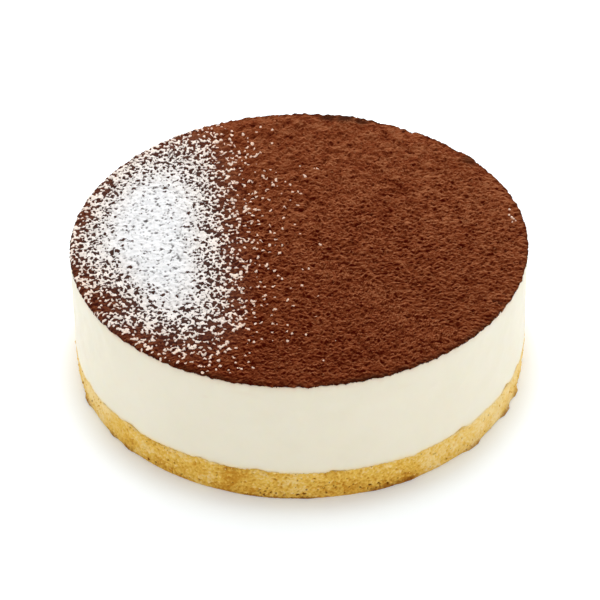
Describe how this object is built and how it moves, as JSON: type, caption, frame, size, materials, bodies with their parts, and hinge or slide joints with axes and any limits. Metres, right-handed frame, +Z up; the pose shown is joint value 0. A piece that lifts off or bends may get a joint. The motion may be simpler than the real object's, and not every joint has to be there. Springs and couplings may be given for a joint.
{
  "type": "semifreddo cake",
  "caption": "Round semifreddo cake with a sponge base, a tall smooth cream layer and a cocoa top, dusted with icing sugar on one side.",
  "frame": {"origin": "centre of the underside", "axes": "+Z up through the middle of the cake, -Y towards the front, -X towards the sugared side"},
  "size_m": [0.2006, 0.2006, 0.0647],
  "materials": {
    "sponge": "open yellow crumb, browned at its edges",
    "cream": "smooth satin ivory",
    "cocoa": "matt lumpy powder",
    "sugar": "matt fine powder"
  },
  "bodies": {
    "root": {"sponge_base": "sponge", "cream_layer": "cream", "cocoa_top": "cocoa", "icing_sugar": "sugar"}
  },
  "joints": []
}
